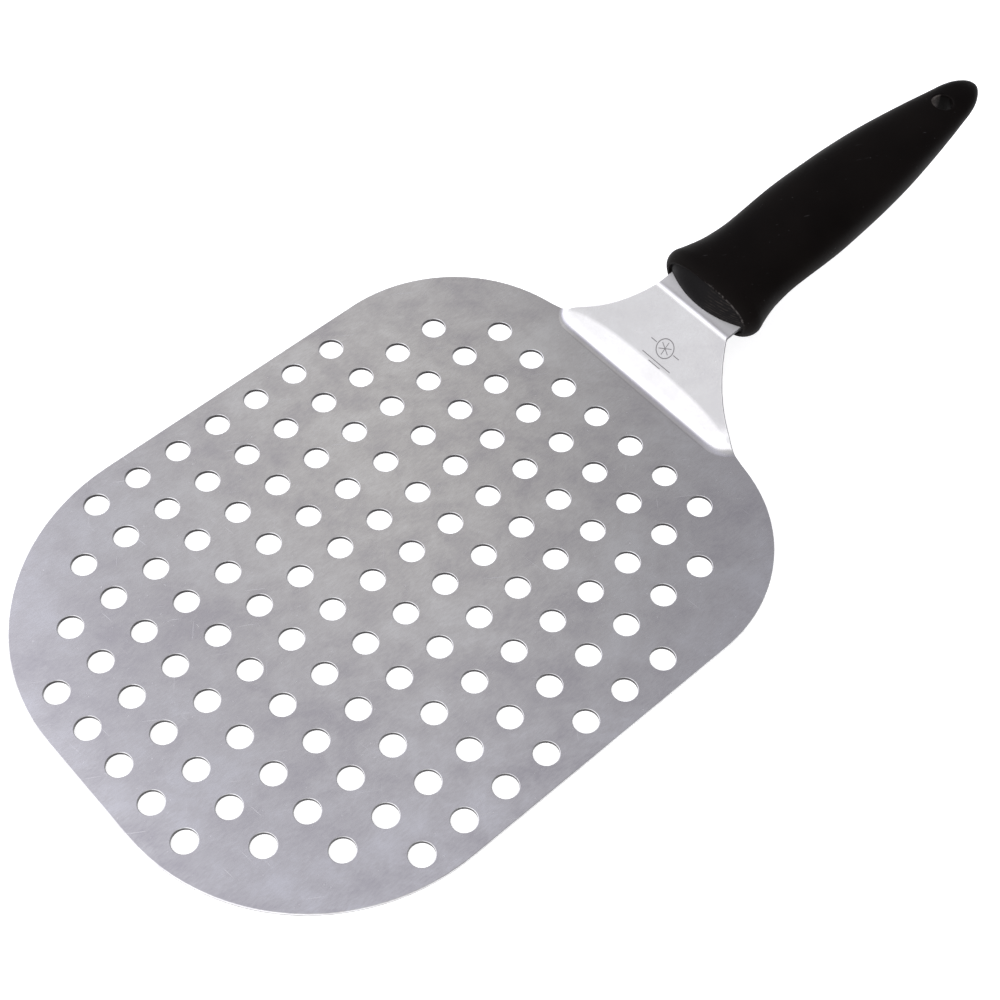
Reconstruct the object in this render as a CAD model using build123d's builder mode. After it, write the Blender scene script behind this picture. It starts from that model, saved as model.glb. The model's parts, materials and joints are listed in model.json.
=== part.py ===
"""Small perforated pizza peel: one bent steel sheet with a moulded two-layer grip.

Frame: millimetres, +Z up. The origin is on the underside of the flat head, on the
centre line and midway between its 7th and 8th rows of holes. +X runs to the handle.
"""
import math
import os

from build123d import *

# ---- driving dimensions -------------------------------------------------------------
sheet = 1.2                  # thickness of the steel
hole_pitch = 16.0            # square grid of the perforation
hole_diameter = 8.0
rim_rounding = 0.25          # upper rims of the holes, drawn in by the punch
edge_rounding = 0.3          # outer edges of the sheet
first_row = -6.5 * hole_pitch
holes_in_columns = {0: (0, 12), 1: (0, 12), 2: (0, 12), 3: (1, 12), 4: (2, 11), 5: (3, 9)}

head_front = -115.3          # front edge
head_half_width = 90.0
front_corner = 70.0          # radius of the front corners
rear_corner = 53.0           # radius of the rear corners
rear_corner_x = 57.5         # where the straight sides end
shoulder_angle = 10.9        # how far round the rear corner the neck begins, in degrees

foot_bend_x = 108.6          # the sheet turns up here
foot_bend_radius = 8.0
top_bend_x = 130.1           # and flattens out again here
top_bend_radius = 2.5
neck_rise = 21.0
neck_mid = (117.8, 28.1)     # point that the hollow side of the neck passes through
curl_start_y = 31.0          # the foot bend is straight inside this,
curl_end_y = 47.0            # and outside it curls towards the handle
curl_step = 2.0              # spacing of the sections that shape the curl
curl_growth = 0.00625        # how fast the bend moves out, per cubic millimetre
curl_from_x = 104.5          # the shaped ends reach this far into the flat head
handle_tilt = 5.5            # tang and grip climb at this angle, in degrees

tang_half_width = 16.0
tang_shoulder_x = 143.5      # the full width stops just inside the mouth
tongue_half_width = 9.0
tongue_start_x = 152.0
tongue_end_x = 212.0
lock_hole_diameter = 8.0
lock_hole_distances = (32.0, 62.0)

mouth_x = 136.0              # front rim of the grip
axis_above_tang = 1.0        # the grip's axis over the middle of the sheet
oval_power = 2.4             # 2 is an ellipse, more is squarer
oval_points = 16
grip_length = 133.0
grip_end_radius = 10.0       # rounding of the far end, seen from above
grip_section_count = 32      # sections that shape the grip,
grip_crowding = 1.35         # packed closer towards the flared mouth
end_turns = (22.5, 45.0, 67.5, 85.0)
grip_half_widths = (
    (0.0, 18.0),             # rounded rim of the mouth
    (1.1, 19.3),
    (2.6, 20.1),
    (4.2, 20.4),             # flare
    (9.0, 19.0),
    (16.0, 17.3),
    (26.0, 16.5),            # waist behind the flare
    (46.0, 16.9),            # belly
    (64.0, 16.1),
    (80.0, 14.8),
    (96.0, 12.6),
    (112.0, 9.8),
    (123.0, 7.5),
    (133.0, 5.4),
)
grip_half_heights = (
    (0.0, 9.1),
    (1.1, 9.6),
    (2.6, 9.9),
    (4.2, 10.0),
    (9.0, 9.6),
    (25.0, 8.3),
    (48.0, 9.4),
    (66.0, 9.6),
    (88.0, 8.4),
    (104.0, 6.4),
    (120.0, 4.4),
    (133.0, 3.7),
)
hang_hole_distance = 115.5
hang_hole_diameter = 7.0
hang_hole_rounding = 0.8

# distance along the axis, half width, half height
core_sections = (
    (0.0, 17.2, 8.6),        # bevel of the mouth
    (0.6, 16.8, 8.2),
    (2.0, 16.8, 8.2),
    (8.0, 16.5, 7.6),
    (16.0, 14.0, 6.2),
    (30.0, 12.6, 5.4),
    (60.0, 12.2, 5.8),
    (84.0, 11.0, 5.0),
)
plug_recess = 0.8            # the core's rim lies this far inside the mouth
plug_bulge = 4.2             # and its middle stands this far out of its rim
plug_steps = (0.1, 0.25, 0.4, 0.55, 0.7, 0.85, 1.0)

shoulder_rounding = 4.0
tang_corner_rounding = 2.0

# ---- the line that the tang and the grip follow ------------------------------------
climb = math.tan(math.radians(handle_tilt))
along = Vector(math.cos(math.radians(handle_tilt)), 0, math.sin(math.radians(handle_tilt)))
mouth_z = sheet / 2 + neck_rise + (mouth_x - top_bend_x) * climb + axis_above_tang
mouth = Vector(mouth_x, 0, mouth_z)
half_sheet = sheet / 2
tall = 120.0                 # taller than the whole peel
wide = 200.0                 # wider than the head
spare = 10.0                 # extra length, cut off again by the outline
close = 0.01                 # two sizes this near each other count as equal


def across(distance):
    """Plane square to the grip's axis, with its own Y pointing up."""
    return Plane(origin=mouth + along * distance, x_dir=(0, 1, 0), z_dir=along)


def bent_line(start_x, foot_x, end_x):
    """Draw the middle line of the bent strip, seen from the side."""
    FilletPolyline(
        (start_x, half_sheet),
        (foot_x, half_sheet),
        (top_bend_x, half_sheet + neck_rise),
        (end_x, half_sheet + neck_rise + (end_x - top_bend_x) * climb),
        radius=(foot_bend_radius, top_bend_radius),
    )


def curled_section(y, outward):
    """Cut through the strip at one Y, with its foot bend moved towards the handle."""
    curled_foot_x = foot_bend_x + curl_growth * max(0, outward - curl_step / 2) ** 3
    with BuildSketch(Plane.XZ.offset(-y)) as section:
        with BuildLine():
            bent_line(curl_from_x, curled_foot_x, top_bend_x + spare)
        trace(line_width=sheet)
    return section.sketch.face()


def oval(half_width, half_height):
    """Points of a squared-off ellipse."""
    points = []
    for step in range(oval_points):
        turn = 2 * math.pi * step / oval_points
        across_part = math.copysign(abs(math.cos(turn)) ** (2 / oval_power), math.cos(turn))
        up_part = math.copysign(abs(math.sin(turn)) ** (2 / oval_power), math.sin(turn))
        points.append((half_width * across_part, half_height * up_part))
    return points


def smooth(knots, at):
    """Value at a distance on a curve that runs through the knots without overshoot."""
    steps = [end[0] - start[0] for start, end in zip(knots, knots[1:])]
    rises = [(end[1] - start[1]) / step for start, end, step in zip(knots, knots[1:], steps)]
    slopes = [rises[0]]
    for before, after in zip(rises, rises[1:]):
        slopes.append(0.0 if before * after <= 0 else 2 * before * after / (before + after))
    slopes.append(rises[-1])
    index = max(i for i in range(len(steps)) if knots[i][0] <= at or i == 0)
    part = (at - knots[index][0]) / steps[index]
    start_value = knots[index][1] * (1 + 2 * part) * (1 - part) ** 2
    end_value = knots[index + 1][1] * part**2 * (3 - 2 * part)
    start_slope = slopes[index] * steps[index] * part * (1 - part) ** 2
    end_slope = slopes[index + 1] * steps[index] * part**2 * (part - 1)
    return start_value + end_value + start_slope + end_slope


# ---- blade_sheet: perforated head, neck and tang, one stamped and bent sheet --------
shoulder = math.radians(shoulder_angle)
rear_corner_y = head_half_width - rear_corner
front_corner_y = head_half_width - front_corner
shoulder_x = rear_corner_x + rear_corner * math.cos(shoulder)
shoulder_y = rear_corner_y + rear_corner * math.sin(shoulder)
corner_length = 12.0         # flat corners beside the neck, before they are cut to the outline
corner_width = 20.0
corner = (curl_from_x + corner_length / 2, curl_end_y + corner_width / 2)
outside = (curl_from_x + tall / 2, curl_start_y + tall / 2)

with BuildPart() as blade_sheet:
    # side view of the bent strip
    with BuildSketch(Plane.XZ):
        with BuildLine():
            bent_line(head_front - spare, foot_bend_x, tongue_end_x + spare)
        trace(line_width=sheet)
    extrude(amount=wide / 2, both=True)
    # outside its straight middle the bend is taken away again
    with BuildSketch(Plane.XY.offset(-tall / 2)):
        with Locations(outside, (outside[0], -outside[1])):
            Rectangle(tall, tall)
    extrude(amount=tall, mode=Mode.SUBTRACT)
    # flat corners, and the ends of the bend that curl towards the handle
    with BuildSketch(Plane.XY):
        with Locations(corner, (corner[0], -corner[1])):
            Rectangle(corner_length, corner_width)
    extrude(amount=sheet)
    for side in (1, -1):
        sections = []
        for step in range(int((curl_end_y - curl_start_y) / curl_step) + 1):
            outward = step * curl_step
            sections.append(curled_section(side * (curl_start_y + outward), outward))
        loft(sections)
    # cut to the outline seen from above
    with BuildSketch(Plane.XY.offset(-tall / 2)) as outline:
        with BuildLine():
            Line((head_front, 0), (head_front, front_corner_y))
            CenterArc((head_front + front_corner, front_corner_y), front_corner, 180, -90)
            Line((head_front + front_corner, head_half_width), (rear_corner_x, head_half_width))
            CenterArc((rear_corner_x, rear_corner_y), rear_corner, 90, shoulder_angle - 90)
            ThreePointArc((shoulder_x, shoulder_y), neck_mid, (top_bend_x, tang_half_width))
            Polyline(
                (top_bend_x, tang_half_width),
                (tang_shoulder_x, tang_half_width),
                (tongue_start_x, tongue_half_width),
                (tongue_end_x - tongue_half_width, tongue_half_width),
            )
            CenterArc((tongue_end_x - tongue_half_width, 0), tongue_half_width, 90, -90)
            mirror(about=Plane.XZ)
        make_face()
        shoulders = outline.vertices().filter_by(lambda v: abs(v.X - shoulder_x) < close)
        fillet(shoulders, radius=shoulder_rounding)
        tang_corners = outline.vertices().filter_by(lambda v: abs(v.X - top_bend_x) < close)
        fillet(tang_corners, radius=tang_corner_rounding)
    extrude(amount=tall, mode=Mode.INTERSECT)
    walls = blade_sheet.faces().filter_by(lambda f: abs(f.normal_at().Z) < close)
    fillet(walls.edges().filter_by(lambda e: e.length > sheet + half_sheet), radius=edge_rounding)
    # perforation of the head
    with BuildSketch(Plane.XY):
        for column, (start, end) in holes_in_columns.items():
            for row in range(start, end + 1):
                x = first_row + row * hole_pitch
                sides = {column * hole_pitch, -column * hole_pitch}
                with Locations(*[(x, side) for side in sides]):
                    Circle(hole_diameter / 2)
    extrude(amount=sheet, mode=Mode.SUBTRACT)
    hole_edges = blade_sheet.edges().filter_by(GeomType.CIRCLE)
    hole_edges = hole_edges.filter_by(lambda e: abs(e.length - math.pi * hole_diameter) < close)
    fillet(hole_edges.filter_by(lambda e: e.center().Z > half_sheet), radius=rim_rounding)
    # two holes in the tongue that the core locks through
    for distance in lock_hole_distances:
        with BuildSketch(Plane(origin=mouth + along * distance, x_dir=along, z_dir=across(distance).y_dir)):
            Circle(lock_hole_diameter / 2)
        extrude(amount=2 * sheet, both=True, mode=Mode.SUBTRACT)
blade_sheet.part.label = "blade_sheet"

# ---- the space the core fills, which is also the socket of the grip -----------------
with BuildPart() as core_space:
    for distance, half_width, half_height in core_sections:
        with BuildSketch(across(distance)):
            with BuildLine():
                Spline(oval(half_width, half_height), periodic=True)
            make_face()
    loft(ruled=True)

# ---- handle_core: moulded round the tongue, its domed end closes the mouth ----------
plug_half_width = core_sections[1][1]
plug_half_height = core_sections[1][2]
with BuildPart() as handle_core:
    add(core_space.part)
    split(bisect_by=across(plug_recess), keep=Keep.TOP)
    for step in plug_steps:
        with BuildSketch(across(plug_recess - plug_bulge * (1 - step * step))):
            with BuildLine():
                Spline(oval(plug_half_width * step, plug_half_height * step), periodic=True)
            make_face()
    loft()
    add(blade_sheet.part, mode=Mode.SUBTRACT)
handle_core.part.label = "handle_core"

# ---- handle_grip: outer shell with a flared mouth and a hanging hole ----------------
body_length = grip_length - grip_end_radius
grip_ovals = []
for count in range(grip_section_count + 1):
    distance = body_length * (count / grip_section_count) ** grip_crowding
    grip_ovals.append((distance, smooth(grip_half_widths, distance), smooth(grip_half_heights, distance)))
for turn in end_turns:
    distance = body_length + grip_end_radius * math.sin(math.radians(turn))
    shrink = math.cos(math.radians(turn))
    half_width = smooth(grip_half_widths, distance) * shrink
    grip_ovals.append((distance, half_width, smooth(grip_half_heights, distance) * shrink))
hang_plane = Plane(
    origin=mouth + along * hang_hole_distance,
    x_dir=along,
    z_dir=across(hang_hole_distance).y_dir,
)

with BuildPart() as handle_grip:
    for distance, half_width, half_height in grip_ovals:
        with BuildSketch(across(distance)):
            with BuildLine():
                Spline(oval(half_width, half_height), periodic=True)
            make_face()
    loft()
    add(core_space.part, mode=Mode.SUBTRACT)
    # hole to hang the peel by, rounded at both ends
    with BuildSketch(hang_plane):
        Circle(hang_hole_diameter / 2)
    extrude(amount=tall / 2, both=True, mode=Mode.SUBTRACT)
    hole_wall = handle_grip.faces().filter_by(GeomType.CYLINDER).sort_by(SortBy.AREA)[-1]
    hole_rims = hole_wall.edges().filter_by(GeomType.LINE, reverse=True)
    fillet(hole_rims, radius=hang_hole_rounding)
handle_grip.part.label = "handle_grip"

os.makedirs("parts", exist_ok=True)
export_step(blade_sheet.part, "parts/blade_sheet.step")
export_step(handle_core.part, "parts/handle_core.step")
export_step(handle_grip.part, "parts/handle_grip.step")
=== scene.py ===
"""Perforated pizza peel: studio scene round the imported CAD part."""
import json
import math

import bpy
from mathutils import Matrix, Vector


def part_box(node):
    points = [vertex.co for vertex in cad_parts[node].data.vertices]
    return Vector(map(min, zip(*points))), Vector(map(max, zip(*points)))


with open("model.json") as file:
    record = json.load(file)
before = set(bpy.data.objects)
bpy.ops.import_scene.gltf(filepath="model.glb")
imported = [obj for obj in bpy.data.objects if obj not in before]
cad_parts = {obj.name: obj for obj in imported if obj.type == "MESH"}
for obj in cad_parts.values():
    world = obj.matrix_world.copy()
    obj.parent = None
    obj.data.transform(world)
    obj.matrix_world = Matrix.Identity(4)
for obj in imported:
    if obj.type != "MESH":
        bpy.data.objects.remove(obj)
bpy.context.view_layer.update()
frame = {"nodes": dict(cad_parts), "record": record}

# ---- sizes of the part that the materials follow, in metres ---------------------------
MM = 0.001
HOLE_PITCH = 16 * MM
FIRST_HOLE_ROW = 104 * MM            # this far in front of the origin
HOLE_REACH = (4.20 * MM, 4.26 * MM)  # a hole with its rounded rim ends between these radii
BEND_SHADE_X = 106.1 * MM            # where the painted shade line lies, just inside the start of the foot bend
SLOPE = math.cos(math.radians(44.3))  # upward part of the neck's normal
MOUTH_X, MOUTH_Z = 136.0 * MM, 23.17 * MM

head_low, head_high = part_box("blade_sheet")
HEAD_HALF_LENGTH = 2.7 * MM - head_low.x  # a little more than the head's own
HEAD_HALF_WIDTH = 2.0 * MM + head_high.y
hang_hole = next(mount for mount in frame["record"]["mounts"] if mount["name"] == "hang_hole")
HANG_HOLE_X = hang_hole["pos_m"][0] - 0.37 * MM  # near its upper end, which leans forward
CLIMB = math.atan2(-hang_hole["axis"][0], hang_hole["axis"][2])  # the grip rises at this angle

# ---- the etched badge on the neck ------------------------------------------------------
BADGE_X = 118.7 * MM
BADGE_RADIUS = 3.3 * MM
BADGE_SLICES = (0, 60, 120)          # degrees
BADGE_LINES = (                      # height up the neck, where the line starts and ends
    (0.0, 3.9 * MM, 6.4 * MM),
    (0.0, -6.4 * MM, -3.9 * MM),
    (-5.3 * MM, -6.4 * MM, 6.4 * MM),
    (-6.5 * MM, -2.6 * MM, 2.6 * MM),
)


# ---- node helpers ----------------------------------------------------------------------
def new_material(name):
    material = bpy.data.materials.new(name)
    material.use_nodes = True
    tree = material.node_tree
    tree.nodes.clear()
    out = tree.nodes.new("ShaderNodeOutputMaterial")
    shader = tree.nodes.new("ShaderNodeBsdfPrincipled")
    tree.links.new(shader.outputs[0], out.inputs[0])
    return material, tree, shader


def math_node(tree, operation, *values):
    node = tree.nodes.new("ShaderNodeMath")
    node.operation = operation
    for socket, value in zip(node.inputs, values):
        if isinstance(value, bpy.types.NodeSocket):
            tree.links.new(value, socket)
        else:
            socket.default_value = value
    return node.outputs[0]


def chained(tree, operation, first, *others):
    """The same operation on any number of values, from left to right."""
    for other in others:
        first = math_node(tree, operation, first, other)
    return first


def total(tree, *values):
    return chained(tree, "ADD", *values)


def product(tree, *values):
    return chained(tree, "MULTIPLY", *values)


def highest(tree, *values):
    return chained(tree, "MAXIMUM", *values)


def minus(tree, value, amount):
    return math_node(tree, "SUBTRACT", value, amount)


def magnitude(tree, value):
    return math_node(tree, "ABSOLUTE", value)


def apart(tree, one, other):
    """Straight distance made of two distances at right angles."""
    return math_node(tree, "SQRT", total(tree, product(tree, one, one), product(tree, other, other)))


def remap(tree, value, low_in, high_in, low_out, high_out):
    node = tree.nodes.new("ShaderNodeMapRange")
    node.inputs["From Min"].default_value = low_in
    node.inputs["From Max"].default_value = high_in
    node.inputs["To Min"].default_value = low_out
    node.inputs["To Max"].default_value = high_out
    tree.links.new(value, node.inputs["Value"])
    return node.outputs["Result"]


def fade_in(tree, value, start, end):
    return remap(tree, value, start, end, 0.0, 1.0)


def fade_out(tree, value, start, end):
    return remap(tree, value, start, end, 1.0, 0.0)


def line_mask(tree, value, centre, half_width, soft=0.09 * MM):
    """1 within half_width of the centre, fading to 0 over the soft margin."""
    return fade_out(tree, magnitude(tree, minus(tree, value, centre)), half_width, half_width + soft)


def ramp(tree, value, stops):
    node = tree.nodes.new("ShaderNodeValToRGB")
    elements = node.color_ramp.elements
    while len(elements) > 1:
        elements.remove(elements[-1])
    elements[0].position, elements[0].color = stops[0][0], (*stops[0][1], 1)
    for at, colour in stops[1:]:
        elements.new(at).color = (*colour, 1)
    tree.links.new(value, node.inputs["Fac"])
    return node.outputs["Color"]


def painted(tree, mask, under, paint):
    """An even colour laid over another one as far as the mask goes."""
    node = tree.nodes.new("ShaderNodeMix")
    node.data_type = "RGBA"
    factor, colour_under, colour_over = node.inputs[0], node.inputs[6], node.inputs[7]
    tree.links.new(mask, factor)
    tree.links.new(under, colour_under)
    colour_over.default_value = (*paint, 1)
    return node.outputs[2]


def coordinates(tree):
    return tree.nodes.new("ShaderNodeTexCoord").outputs["Object"]


def parts_of(tree, vector):
    split = tree.nodes.new("ShaderNodeSeparateXYZ")
    tree.links.new(vector, split.inputs[0])
    return split.outputs


def upward(tree):
    """How far the surface faces up, from -1 to 1."""
    return parts_of(tree, tree.nodes.new("ShaderNodeNewGeometry").outputs["Normal"])["Z"]


def stretched(tree, place, scale):
    node = tree.nodes.new("ShaderNodeMapping")
    node.inputs["Scale"].default_value = scale
    tree.links.new(place, node.inputs["Vector"])
    return node.outputs["Vector"]


def turned(tree, place, degrees, scale):
    """Turned about the vertical first, then stretched."""
    node = tree.nodes.new("ShaderNodeMapping")
    node.inputs["Rotation"].default_value = (0, 0, math.radians(degrees))
    tree.links.new(place, node.inputs["Vector"])
    return stretched(tree, node.outputs["Vector"], scale)


def noise(tree, place, scale, detail, roughness, distortion=0.0):
    node = tree.nodes.new("ShaderNodeTexNoise")
    node.inputs["Scale"].default_value = scale
    node.inputs["Detail"].default_value = detail
    node.inputs["Roughness"].default_value = roughness
    node.inputs["Distortion"].default_value = distortion
    tree.links.new(place, node.inputs["Vector"])
    return node.outputs["Fac"]


def bump(tree, shader, height, strength, distance):
    node = tree.nodes.new("ShaderNodeBump")
    node.inputs["Strength"].default_value = strength
    node.inputs["Distance"].default_value = distance
    tree.links.new(height, node.inputs["Height"])
    tree.links.new(node.outputs["Normal"], shader.inputs["Normal"])


# ---- steel -----------------------------------------------------------------------------
def etched_badge(tree, where, up):
    """A plain round badge, a sliced disc, with a short line on each side, over two rules."""
    side = product(tree, where["Y"], -1.0)
    rise = math_node(tree, "DIVIDE", minus(tree, where["X"], BADGE_X), SLOPE)
    radius = apart(tree, side, rise)
    marks = [line_mask(tree, radius, BADGE_RADIUS, 0.13 * MM)]
    inside = fade_out(tree, radius, 0.72 * BADGE_RADIUS, 0.76 * BADGE_RADIUS)
    for degrees in BADGE_SLICES:
        turn = math.radians(degrees)
        slanted = total(tree, product(tree, side, math.cos(turn)), product(tree, rise, math.sin(turn)))
        marks.append(product(tree, line_mask(tree, slanted, 0.0, 0.10 * MM), inside))
    for height, start, end in BADGE_LINES:
        between = line_mask(tree, side, (start + end) / 2, (end - start) / 2)
        marks.append(product(tree, line_mask(tree, rise, height, 0.11 * MM), between))
    on_slope = fade_out(tree, magnitude(tree, minus(tree, up, SLOPE)), 0.04, 0.08)
    return product(tree, highest(tree, *marks), on_slope)


def outwardness(tree, where):
    """0 in the middle of the head, past 0.9 near its outline."""
    lengthwise = magnitude(tree, math_node(tree, "DIVIDE", where["X"], HEAD_HALF_LENGTH))
    sideways = magnitude(tree, math_node(tree, "DIVIDE", where["Y"], HEAD_HALF_WIDTH))
    return total(tree, math_node(tree, "POWER", lengthwise, 3.0), math_node(tree, "POWER", sideways, 3.0))


def painted_hole_shade(tree, where, up):
    """Painted shade: near-black walls of the punched holes of the head, standing in for the shade inside
    them.
    """
    half_pitch = HOLE_PITCH / 2
    cell_x = math_node(tree, "WRAP", total(tree, where["X"], FIRST_HOLE_ROW), half_pitch, -half_pitch)
    cell_y = math_node(tree, "WRAP", where["Y"], half_pitch, -half_pitch)
    near = fade_out(tree, apart(tree, cell_x, cell_y), *HOLE_REACH)
    steep = fade_out(tree, magnitude(tree, up), 0.40, 0.85)
    on_head = fade_out(tree, outwardness(tree, where), 0.89, 0.91)
    return product(tree, near, steep, on_head)


def painted_edge_shade(tree, where, up):
    """Painted shade: the lower half of the cut edge round the head, and the cut edge of the neck, made dark.
    """
    steep = fade_out(tree, magnitude(tree, up), 0.50, 0.85)
    low = fade_out(tree, where["Z"], 0.42 * MM, 0.60 * MM)
    on_neck = fade_in(tree, where["X"], 108 * MM, 114 * MM)
    outer = fade_in(tree, outwardness(tree, where), 0.89, 0.91)
    return product(tree, steep, highest(tree, low, on_neck), outer)


def painted_bend_shade(tree, where):
    """Painted shade: a slightly darker line where the head starts to bend up."""
    along_bend = line_mask(tree, where["X"], BEND_SHADE_X, 0.8 * MM, 0.7 * MM)
    straight_part = line_mask(tree, where["Y"], 0.0, 29 * MM, 6 * MM)
    return product(tree, along_bend, straight_part)


def steel_tone(tree, place, where, grain):
    """Mottling of the rolled sheet, calmer on the neck."""
    clouds = noise(tree, turned(tree, place, 38, (22, 38, 30)), 1.0, 4.0, 0.62, 0.8)
    patches = noise(tree, place, 95.0, 3.0, 0.6, 0.4)
    tone = total(
        tree, product(tree, grain, 0.22), product(tree, clouds, 0.45), product(tree, patches, 0.33)
    )
    swing = remap(tree, where["X"], 102 * MM, 108 * MM, 1.0, 0.40)
    return total(tree, product(tree, minus(tree, tone, 0.5), swing), 0.5)


def steel_wear(tree, place):
    """Fine scratches in three directions, and small specks."""
    marks = []
    for degrees, fineness in ((33, 2100), (-52, 1700), (84, 1900)):
        streaks = noise(tree, turned(tree, place, degrees, (70, fineness, fineness)), 1.0, 1.0, 0.4)
        marks.append(fade_in(tree, streaks, 0.755, 0.83))
    marks.append(fade_in(tree, noise(tree, place, 1000.0, 1.0, 0.5), 0.74, 0.80))
    return highest(tree, *marks)


def steel_material():
    material, tree, shader = new_material("satin_steel")
    place = coordinates(tree)
    where = parts_of(tree, place)
    up = upward(tree)
    grain = noise(tree, stretched(tree, place, (500, 1500, 1500)), 1.0, 3.0, 0.6)
    tone = steel_tone(tree, place, where, grain)
    wear = steel_wear(tree, place)
    badge = etched_badge(tree, where, up)
    shades = (
        (0.38, (0.54, 0.53, 0.55)),
        (0.50, (0.65, 0.645, 0.65)),
        (0.62, (0.75, 0.755, 0.77)),
    )
    colour = ramp(tree, tone, shades)
    colour = painted(tree, product(tree, wear, 0.45), colour, (0.80, 0.80, 0.81))
    # painted shade: near-black colour on the walls of the punched holes
    colour = painted(tree, painted_hole_shade(tree, where, up), colour, (0.045, 0.042, 0.044))
    # painted shade: a slightly darker line at the start of the foot bend
    colour = painted(tree, product(tree, painted_bend_shade(tree, where), 0.45), colour, (0.42, 0.415, 0.42))
    # painted shade: dark colour on the lower half of the head's cut edge and on the neck's cut edge
    colour = painted(tree, product(tree, painted_edge_shade(tree, where, up), 0.95), colour, (0.10, 0.10, 0.105))
    colour = painted(tree, badge, colour, (0.17, 0.165, 0.17))
    tree.links.new(colour, shader.inputs["Base Color"])
    # the tang is rougher and mirrors less than the neck
    tree.links.new(remap(tree, where["X"], 130.6 * MM, 132.5 * MM, 1.0, 0.52), shader.inputs["Metallic"])
    rough = total(
        tree,
        remap(tree, tone, 0.36, 0.64, 0.23, 0.17),
        remap(tree, where["X"], 128.6 * MM, 131.6 * MM, 0.0, 0.33),
        product(tree, wear, 0.10),
        product(tree, badge, 0.30),
    )
    tree.links.new(rough, shader.inputs["Roughness"])
    height = minus(tree, grain, product(tree, highest(tree, badge, wear), 0.8))
    bump(tree, shader, height, 0.12, 0.02 * MM)
    return material


# ---- plastics --------------------------------------------------------------------------
def core_ribs(tree, place, where):
    """Fine ribs on one half of the core's dome, uneven and broken."""
    wander = noise(tree, place, 420.0, 2.0, 0.5)
    level = total(tree, where["Z"], product(tree, wander, 0.5 * MM))
    rib = line_mask(tree, math_node(tree, "WRAP", level, 0.45 * MM, -0.45 * MM), 0.0, 0.08 * MM, 0.16 * MM)
    half = fade_in(tree, where["Y"], -1 * MM, -5 * MM)
    gaps = noise(tree, stretched(tree, place, (900, 500, 900)), 1.0, 2.0, 0.6)
    return product(tree, rib, half, remap(tree, gaps, 0.42, 0.60, 0.15, 1.0))


def painted_rim_highlight(tree, place, where):
    """Painted highlight: a thin broken light line along one half of the mouth's upper lip."""
    ahead = product(tree, minus(tree, where["X"], MOUTH_X), math.cos(CLIMB))
    above = minus(tree, where["Z"], MOUTH_Z)
    along = total(tree, ahead, product(tree, above, math.sin(CLIMB)))
    crest = line_mask(tree, along, 0.06 * MM, 0.07 * MM, 0.10 * MM)
    half = fade_in(tree, where["Y"], 1 * MM, -3 * MM)
    upper = fade_in(tree, above, 2 * MM, 4 * MM)
    broken = fade_in(tree, noise(tree, place, 700.0, 2.0, 0.6), 0.46, 0.60)
    return product(tree, crest, half, upper, broken)


def painted_bore_highlight(tree, place, where):
    """Painted highlight: lighter colour on one side of the hanging hole's wall."""
    lengthwise = minus(tree, where["X"], HANG_HOLE_X)
    wall = fade_out(tree, apart(tree, lengthwise, where["Y"]), 3.7 * MM, 3.9 * MM)
    toward = total(tree, product(tree, lengthwise, -0.33), product(tree, where["Y"], 0.94))
    side = fade_in(tree, toward, 1.6 * MM, 3.2 * MM)
    cloud = remap(tree, noise(tree, place, 800.0, 2.0, 0.6), 0.30, 0.60, 0.35, 1.0)
    return product(tree, wall, side, cloud)


def plastic_material(name, dark, light, roughness, grain_scale, specular):
    """Dark plastic with fine texture, specks and scuffs, not yet joined to its colour and bump."""
    material, tree, shader = new_material(name)
    place = coordinates(tree)
    fine = noise(tree, place, grain_scale, 2.0, 0.6)
    broad = noise(tree, place, 60.0, 3.0, 0.5)
    specks = fade_in(tree, noise(tree, place, 950.0, 1.0, 0.5), 0.775, 0.82)
    scuffs = noise(tree, turned(tree, place, 28, (160, 1500, 1500)), 1.0, 1.0, 0.4)
    marks = highest(tree, specks, fade_in(tree, scuffs, 0.775, 0.83))
    colour = painted(tree, marks, ramp(tree, broad, ((0.3, dark), (0.7, light))), (0.035, 0.033, 0.034))
    tree.links.new(remap(tree, broad, 0.3, 0.7, *roughness), shader.inputs["Roughness"])
    shader.inputs["Specular IOR Level"].default_value = specular
    return material, tree, shader, place, colour, fine


def finished_plastic(tree, shader, colour, height):
    tree.links.new(colour, shader.inputs["Base Color"])
    bump(tree, shader, height, 0.35, 0.06 * MM)


def grip_material():
    material, tree, shader, place, colour, fine = plastic_material(
        "grip_plastic", (0.0030, 0.0022, 0.0020), (0.0047, 0.0035, 0.0031), (0.42, 0.55), 1500.0, 0.04
    )
    where = parts_of(tree, place)
    # painted highlight: a thin light line along one half of the mouth's upper lip
    colour = painted(tree, painted_rim_highlight(tree, place, where), colour, (0.060, 0.055, 0.052))
    # painted highlight: lighter colour on one side of the hanging hole's wall
    colour = painted(tree, painted_bore_highlight(tree, place, where), colour, (0.16, 0.145, 0.135))
    finished_plastic(tree, shader, colour, fine)
    return material


def core_material():
    material, tree, shader, place, colour, fine = plastic_material(
        "core_plastic", (0.0045, 0.0040, 0.0043), (0.0080, 0.0073, 0.0078), (0.38, 0.5), 1800.0, 0.05
    )
    ribs = core_ribs(tree, place, parts_of(tree, place))
    colour = painted(tree, ribs, colour, (0.026, 0.022, 0.020))
    finished_plastic(tree, shader, colour, total(tree, fine, ribs))
    return material


materials = {"blade_sheet": steel_material(), "handle_grip": grip_material(), "handle_core": core_material()}
for node, material in materials.items():
    mesh = frame["nodes"][node].data
    mesh.materials.clear()
    mesh.materials.append(material)


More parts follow.
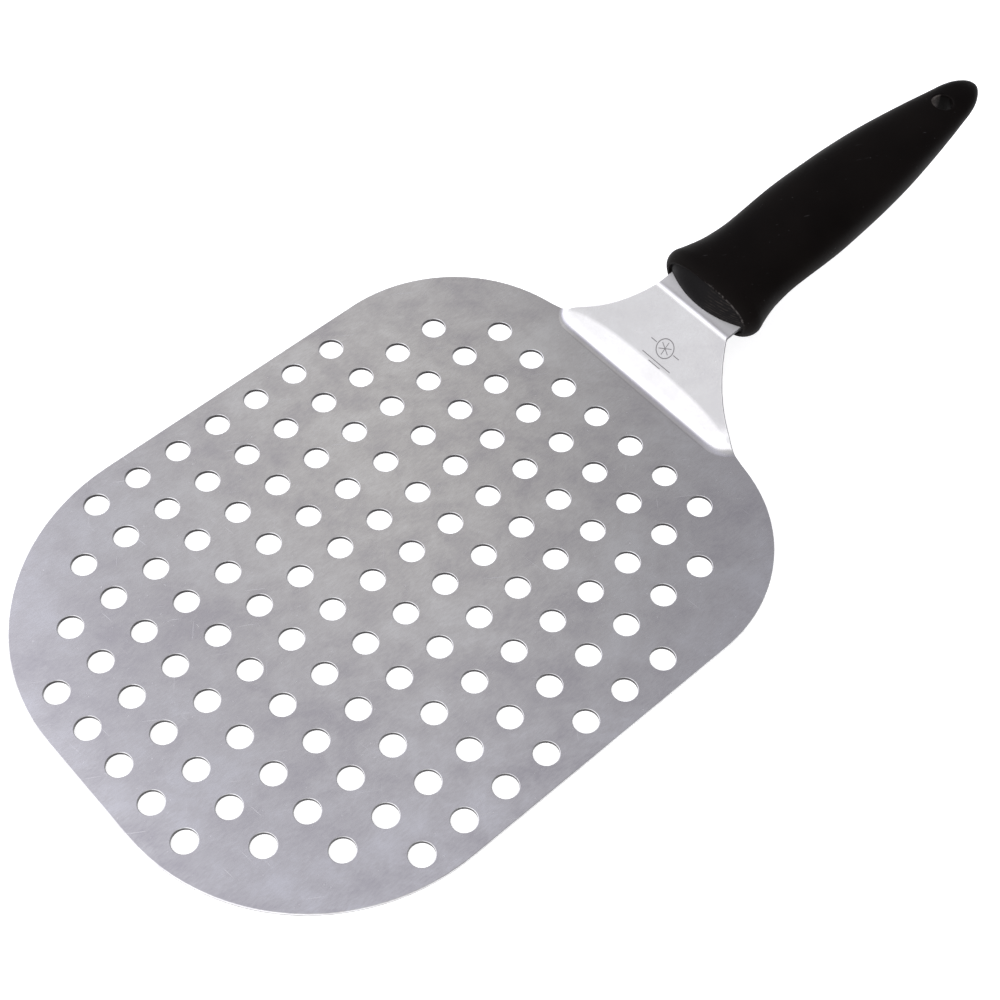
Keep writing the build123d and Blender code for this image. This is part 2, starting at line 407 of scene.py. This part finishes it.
# ---- floor and lamps -------------------------------------------------------------------
def pale_floor(half_size, gap):
    """A wide floor, a hair below the head so that the two don't flicker."""
    floor_mesh = bpy.data.meshes.new("floor")
    corners = [(-half_size, -half_size, 0), (half_size, -half_size, 0)]
    corners += [(half_size, half_size, 0), (-half_size, half_size, 0)]
    floor_mesh.from_pydata(corners, [], [(0, 1, 2, 3)])
    floor = bpy.data.objects.new("floor", floor_mesh)
    bpy.context.scene.collection.objects.link(floor)
    floor.location.z = -gap
    material, _, shader = new_material("pale_floor")
    shader.inputs["Base Color"].default_value = (0.93, 0.93, 0.93, 1)
    shader.inputs["Roughness"].default_value = 0.9
    shader.inputs["Specular IOR Level"].default_value = 0.0
    shader.inputs["Emission Color"].default_value = (1, 1, 1, 1)
    shader.inputs["Emission Strength"].default_value = 0.60
    floor_mesh.materials.append(material)
    return floor


floor = pale_floor(4.0, 0.2 * MM)

focus = Vector((0.05, 0.0, 0.0))


def softbox(name, direction, distance, size, radiance):
    light = bpy.data.lights.new(name, "AREA")
    light.shape = "RECTANGLE"
    light.size, light.size_y = size
    light.energy = radiance * math.pi * size[0] * size[1]
    lamp = bpy.data.objects.new(name, light)
    bpy.context.scene.collection.objects.link(lamp)
    lamp.location = focus + Vector(direction).normalized() * distance
    lamp.rotation_euler = (-Vector(direction)).to_track_quat("-Z", "Y").to_euler()


softbox("key", (-0.30, 0.40, 0.86), 1.6, (0.9, 0.7), 0.35)
softbox("side", (-0.80, 0.12, 0.55), 1.6, (0.5, 0.45), 0.45)
softbox("fill", (-0.25, -0.65, 0.72), 1.8, (1.0, 1.0), 0.7)

# ---- the room round it -----------------------------------------------------------------
# its brightness depends on how far a direction leans to the right: X less a part of Y
LEAN_SIDEWAYS = 0.55
LEAN_RANGE = (-1.22, 0.78)
BRIGHTEST = 2.0                      # the ramp holds shares of this
BRIGHTNESS = (                       # lean, brightness
    (-1.21, 1.45),
    (-1.02, 1.46),
    (-0.88, 1.47),                   # mirrored by the neck
    (-0.72, 1.56),
    (-0.52, 1.75),                   # mirrored by the two bends
    (-0.35, 1.72),
    (-0.25, 1.28),
    (-0.19, 0.84),
    (-0.10, 0.66),                   # mirrored by the left of the head
    (-0.02, 0.66),
    (0.08, 0.72),
    (0.15, 0.66),
    (0.24, 0.44),                    # mirrored by the right of the head
    (0.68, 0.45),
)
HEAD_MIRRORS = (0.36, 0.47, 0.80)    # direction that the rear half of the head mirrors
TINTS = (                            # distance from that direction, tint
    (0.06, (1.03, 1.0, 0.965)),
    (0.165, (0.845, 0.83, 0.875)),
    (0.25, (0.98, 0.965, 1.10)),
    (0.70, (0.99, 0.985, 1.01)),
)


def vector_node(tree, operation, vector, other):
    node = tree.nodes.new("ShaderNodeVectorMath")
    node.operation = operation
    tree.links.new(vector, node.inputs[0])
    if isinstance(other, bpy.types.NodeSocket):
        tree.links.new(other, node.inputs["Scale"] if operation == "SCALE" else node.inputs[1])
    else:
        node.inputs[1].default_value = other
    return node.outputs


def studio_room():
    world = bpy.data.worlds.new("studio")
    bpy.context.scene.world = world
    world.use_nodes = True
    tree = world.node_tree
    way = tree.nodes.new("ShaderNodeTexCoord").outputs["Generated"]
    heading = parts_of(tree, way)
    lean = minus(tree, heading["X"], product(tree, heading["Y"], LEAN_SIDEWAYS))
    low, high = LEAN_RANGE
    stops = [((at - low) / (high - low), (level / BRIGHTEST,) * 3) for at, level in BRIGHTNESS]
    glow = ramp(tree, fade_in(tree, lean, low, high), stops)
    # a little brighter in the part that one side of the neck mirrors
    leftward = fade_out(tree, heading["X"], -0.72, -0.35)
    gain = product(tree, remap(tree, heading["Y"], 0.30, 0.45, 0.12, -0.03), leftward)
    lifted = vector_node(tree, "SCALE", glow, total(tree, gain, 1.0))["Vector"]
    tint = ramp(tree, vector_node(tree, "DISTANCE", way, HEAD_MIRRORS)["Value"], TINTS)
    tinted = vector_node(tree, "MULTIPLY", lifted, tint)["Vector"]
    background = tree.nodes["Background"]
    tree.links.new(tinted, background.inputs["Color"])
    background.inputs["Strength"].default_value = BRIGHTEST


studio_room()

# ---- camera ----------------------------------------------------------------------------
camera_data = bpy.data.cameras.new("camera")
camera_data.lens = 68.05
camera_data.sensor_width = 36.0
camera = bpy.data.objects.new("camera", camera_data)
bpy.context.scene.collection.objects.link(camera)
camera.location = (-0.18801, -0.25489, 0.50223)
camera.rotation_euler = [math.radians(degrees) for degrees in (34.176, -0.473, -41.780)]
bpy.context.scene.camera = camera
bpy.context.scene.view_settings.view_transform = "Standard"
